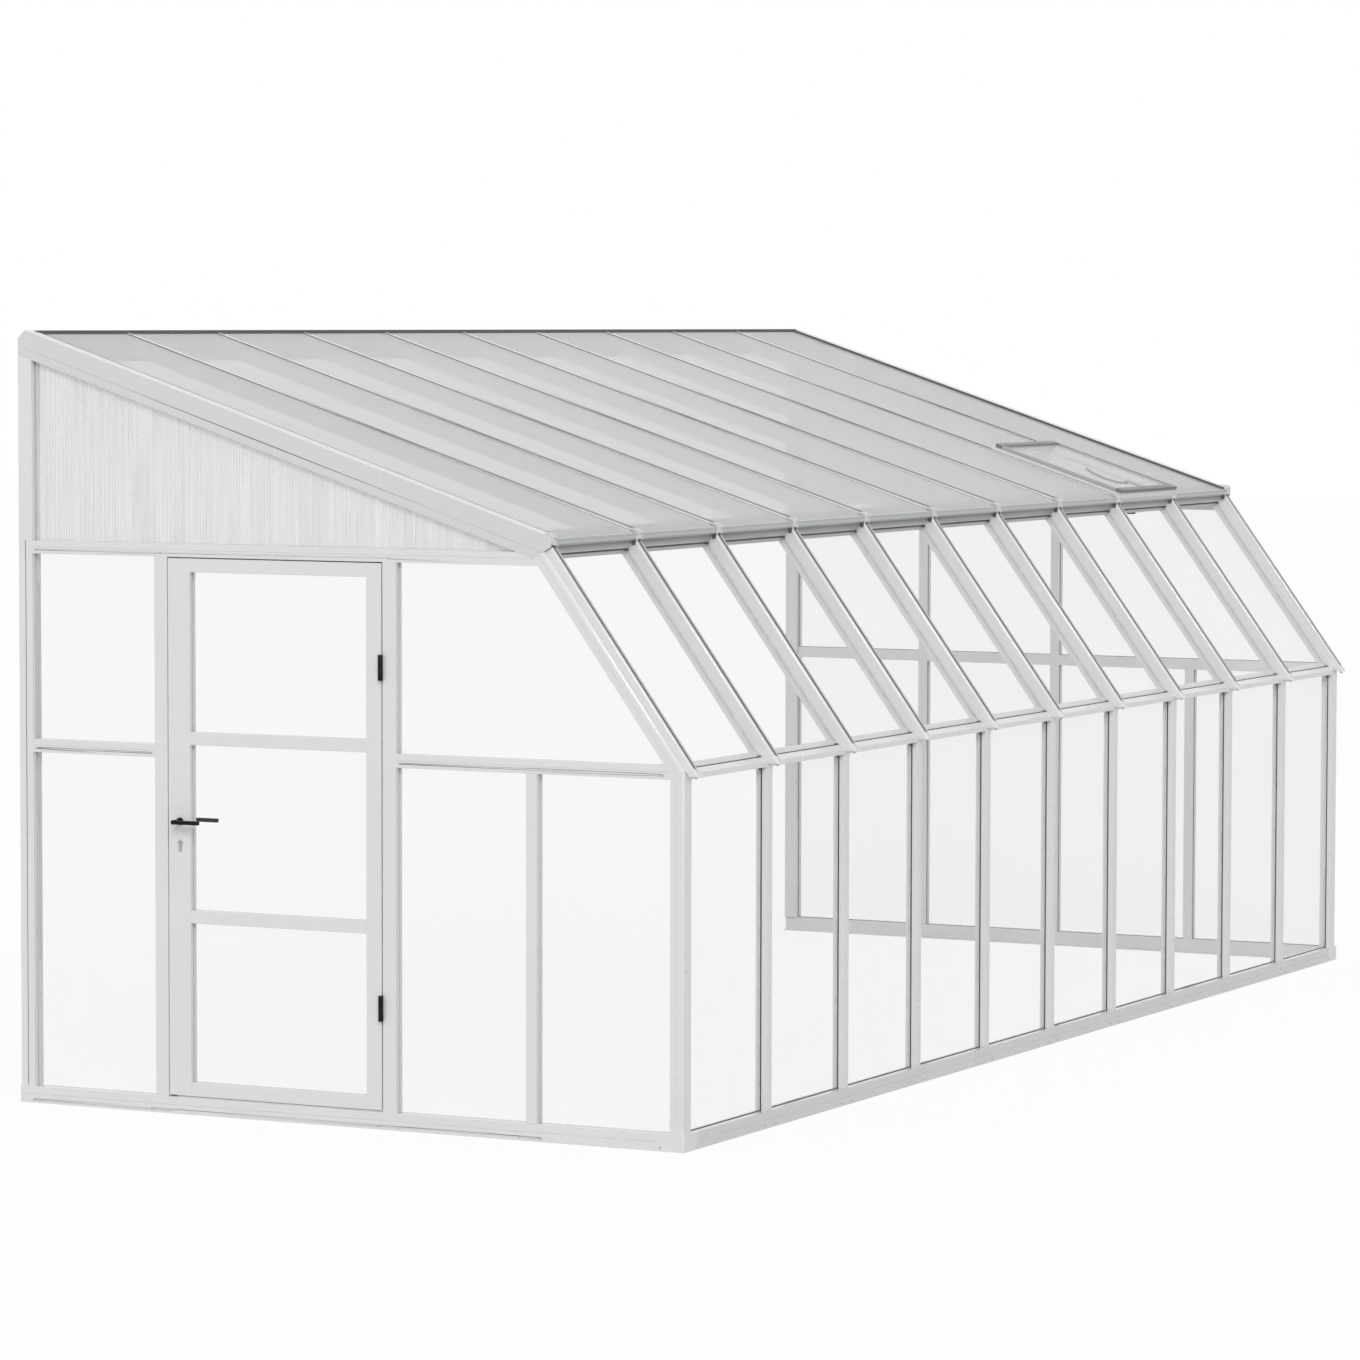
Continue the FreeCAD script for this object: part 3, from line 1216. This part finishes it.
def end_screw_spots():
    """Screws through the face of one end base rail."""
    spots = [(-SILL_PROUD, CORNER_SCREW, BASE_SCREW_Z, INTO_X)]
    middles = (DOOR_MULLION, HINGE_JAMB_Y + JAMB_W / 2, LOCK_JAMB_Y + JAMB_W / 2)
    for middle in middles:
        for side in (-1, 1):
            spots.append((-SILL_PROUD, middle + side * BASE_SCREW_OUT, BASE_SCREW_Z, INTO_X))
    return spots + [(-SILL_PROUD, DEPTH - WALL_POST_W, BASE_SCREW_Z, INTO_X)]


def rail_screw_spots():
    """Screws near the rail ends of the door end."""
    mid = MID_RAIL_Z + RAIL_SCREW_IN
    head = HEAD_RAIL_Z + RAIL_SCREW_IN
    spots = [(y, mid) for y in (LOCK_JAMB_END + RAIL_SCREW_IN, WALL_FACE - RAIL_SCREW_IN)]
    spots.append((HINGE_JAMB_Y - RAIL_SCREW_IN, mid))
    spots.append((CORNER_D + 2 * RAIL_SCREW_IN, mid))
    middles = (LOCK_JAMB_Y + JAMB_W / 2, HINGE_JAMB_Y + JAMB_W / 2)
    spots += [(y, head) for y in middles + (WALL_FACE - RAIL_SCREW_IN,)]
    return [(0, y, z, INTO_X) for y, z in spots]


# Holes for the floor anchors and the wall fixings

FOOT_MID = SILL_BACK + FOOT_W / 2
ANCHOR_BAYS = (0, 2, 4)
END_ANCHOR_Y = 500.0
END_ANCHOR_STEP = 1400.0
WALL_FIX_Z = 500.0
WALL_FIX_STEP = 1300.0
WALL_FIX_X = 41.0
PLATE_FIX_Z = PLATE_TOP - PLATE_H / 2


def floor_hole(x, y):
    return rod(V(x, y, -1), V(0, 0, 1), ANCHOR_D / 2, FOOT_T + 2)


def wall_hole(x, z):
    return rod(V(x, PLATE_Y - WALL_POST_W, z), INTO_Y, ANCHOR_D / 2, 3 * WALL_POST_W)


def bay_middle(i):
    return line_x(i) + BAY_PITCH / 2


def anchor_places():
    """Fixing places along the room, in pairs about its middle."""
    near = [bay_middle(i) for i in ANCHOR_BAYS]
    return near + [LENGTH - x for x in near]


def front_screw_holes():
    return [pan_hole(*spot) for spot in base_screw_spots()]


def front_base_rails():
    marks = (ZONE_END, SPLICE_NEAR, SPLICE_FAR, LENGTH - ZONE_END)
    holes = front_screw_holes()
    holes += [floor_hole(x, FOOT_MID) for x in anchor_places()]
    return [sill_length(a, b).cut(holes) for a, b in zip(marks, marks[1:])]


def end_base_rail():
    holes = [pan_hole(*spot) for spot in end_screw_spots()]
    holes += [floor_hole(FOOT_MID, END_ANCHOR_Y), floor_hole(FOOT_MID, END_ANCHOR_Y + END_ANCHOR_STEP)]
    return to_door_end(sill_length(ZONE_END, DEPTH)).cut(holes)


def base_splices():
    half = SPLICE_LEN / 2
    bars = [sill_insert(at - half, at + half) for at in (SPLICE_NEAR, SPLICE_FAR)]
    return [bar.cut(front_screw_holes()) for bar in bars]


def drilled_corner():
    return base_corner().cut([pan_hole(*base_screw_spots()[0]), pan_hole(*end_screw_spots()[0])])


def drilled_wall_post():
    low = wall_hole(WALL_FIX_X, WALL_FIX_Z)
    return wall_post().cut([low, wall_hole(WALL_FIX_X, WALL_FIX_Z + WALL_FIX_STEP)])


def low_rails():
    marks = (END_W, line_x(3), line_x(BAY_COUNT - 3), LENGTH - END_W)
    return [low_rail(a, b) for a, b in zip(marks, marks[1:])]


def drilled(shape):
    return shape.cut([pan_hole(*spot) for spot in rail_screw_spots()])


def roof_panels():
    starts = [PANEL_START] * BAY_COUNT
    starts[VENT_BAY] = PANEL_START + VENT_LEN + SLIP
    return [roof_panel(i, start) for i, start in enumerate(starts)]


def panel_end_trims():
    return [panel_end_trim(i) for i in range(BAY_COUNT) if i != VENT_BAY]


def eave_clips():
    return across_bars(eave_clip(RAFTER_CAP - COVER_T)) + both_ends(moved(eave_clip(0), x=END_W / 2))


def across_bars(shape):
    return [moved(shape, x=line_x(i)) for i in range(1, BAY_COUNT)]


def screw_group(spots):
    return [pan_screw(*spot) for spot in spots]


END_SCREWS = screw_group(end_screw_spots())
DOOR_MID_RAILS = [mid_rail(LOCK_JAMB_END, WALL_FACE), front_mid_rail(HINGE_JAMB_Y)]

NODES = {
    "front_base_rails": front_base_rails(),
    "end_base_rails": both_ends(end_base_rail()),
    "base_splices": base_splices(),
    "base_corners": both_ends(drilled_corner()),
    "base_screws": screw_group(base_screw_spots()) + END_SCREWS + [mirrored(s) for s in END_SCREWS],
    "corner_posts": both_ends(corner_post()),
    "wall_posts": both_ends(drilled_wall_post()),
    "front_posts": front_posts(),
    "front_panes": front_panes(),
    "low_eave_rails": low_rails(),
    "eave_bars": across_bars(eave_bar()),
    "end_eave_bars": both_ends(end_eave_bar()),
    "eave_panes": eave_panes(),
    "bar_end_caps": bar_end_caps(),
    "upper_eave_rails": [upper_rail(*bay_sides(i)) for i in range(BAY_COUNT)],
    "roof_rafters": across_bars(roof_rafter()),
    "end_rafters": both_ends(end_rafter()),
    "roof_panels": roof_panels(),
    "panel_end_trims": panel_end_trims(),
    "eave_clips": eave_clips(),
    "wall_plate": [wall_plate().cut([wall_hole(x, PLATE_FIX_Z) for x in anchor_places()])],
    "roof_seals": [ridge_seal()] + both_ends(edge_seal()),
    "door_lock_jamb": [door_lock_jamb()],
    "door_hinge_jamb": [door_hinge_jamb()],
    "strike_plate": [strike_plate()],
    "door_end_mullion": [mullion(DOOR_MULLION, MID_RAIL_Z)],
    "gable_mid_rails": [drilled(rail) for rail in DOOR_MID_RAILS] + far_end_mid_rails(),
    "gable_head_rails": [drilled(door_head_rail()), mirrored(head_rail())],
    "door_end_panes": door_end_panes(),
    "gable_panels": both_ends(gable_panel()),
    "rail_screws": screw_group(rail_screw_spots()),
    "far_end_mullions": far_end_mullions(),
    "far_end_panes": far_end_panes(),
    "hinge_frame_leaves": [hinge_leaf(z, -1) for z in HINGE_Z],
    "hinge_frame_screws": [hinge_screw(z, x, -1) for z, x in hinge_screw_spots()],
    "hinge_door_leaves": [hinge_leaf(z, 1) for z in HINGE_Z],
    "hinge_door_screws": [hinge_screw(z, x, 1) for z, x in hinge_screw_spots()],
    "door_hinge_stile": [door_hinge_stile()],
    "door_lock_stile": [door_lock_stile()],
    "door_top_rail": [door_rail(DOOR_Z1 - DOOR_TOP_H, DOOR_Z1, True, False)],
    "door_bottom_rail": [door_rail(DOOR_Z0, DOOR_Z0 + DOOR_BOTTOM_H, False, True)],
    "door_glazing_bars": [door_rail(z, z + DOOR_BAR_H, True, True) for z in DOOR_BARS_Z],
    "door_panes": door_panes(),
    "lock_case": [lock_case()],
    "lock_cylinder": [lock_cylinder()],
    "cylinder_plug": [cylinder_plug()],
    "latch_bolt": [latch_bolt()],
    "dead_bolt": [dead_bolt()],
    "lever_roses": [lever_rose(), through_door(lever_rose())],
    "outer_lever": [outer_lever()],
    "inner_lever": [through_door(outer_lever())],
    "lever_spindle": [lever_spindle()],
    "vent_curb": [vent_curb()],
    "vent_hinge_brackets": [vent_hinge_bracket(offset) for offset in VENT_HINGES],
    "vent_stay_peg": [vent_stay_peg()],
    "vent_sash_sides": vent_sash_sides(),
    "vent_sash_rails": vent_sash_rails(),
    "vent_sash_panel": [vent_sash_panel()],
    "vent_stay_bracket": [vent_stay_bracket()],
    "vent_stay_arm": [vent_stay_arm()],
}

WHOLE = Part.makeCompound([s for solids in NODES.values() for s in solids]).optimalBoundingBox()
ORIGIN = V(-(WHOLE.XMin + WHOLE.XMax) / 2, -(WHOLE.YMin + WHOLE.YMax) / 2, -WHOLE.ZMin)
for node, solids in NODES.items():
    shape = group(solids)
    shape.translate(ORIGIN)
    shape.exportStep("parts/%s.step" % node)
    print(node, len(shape.Solids), round(shape.Volume), shape.isValid())
print("size", round(WHOLE.XLength, 1), round(WHOLE.YLength, 1), round(WHOLE.ZLength, 1))
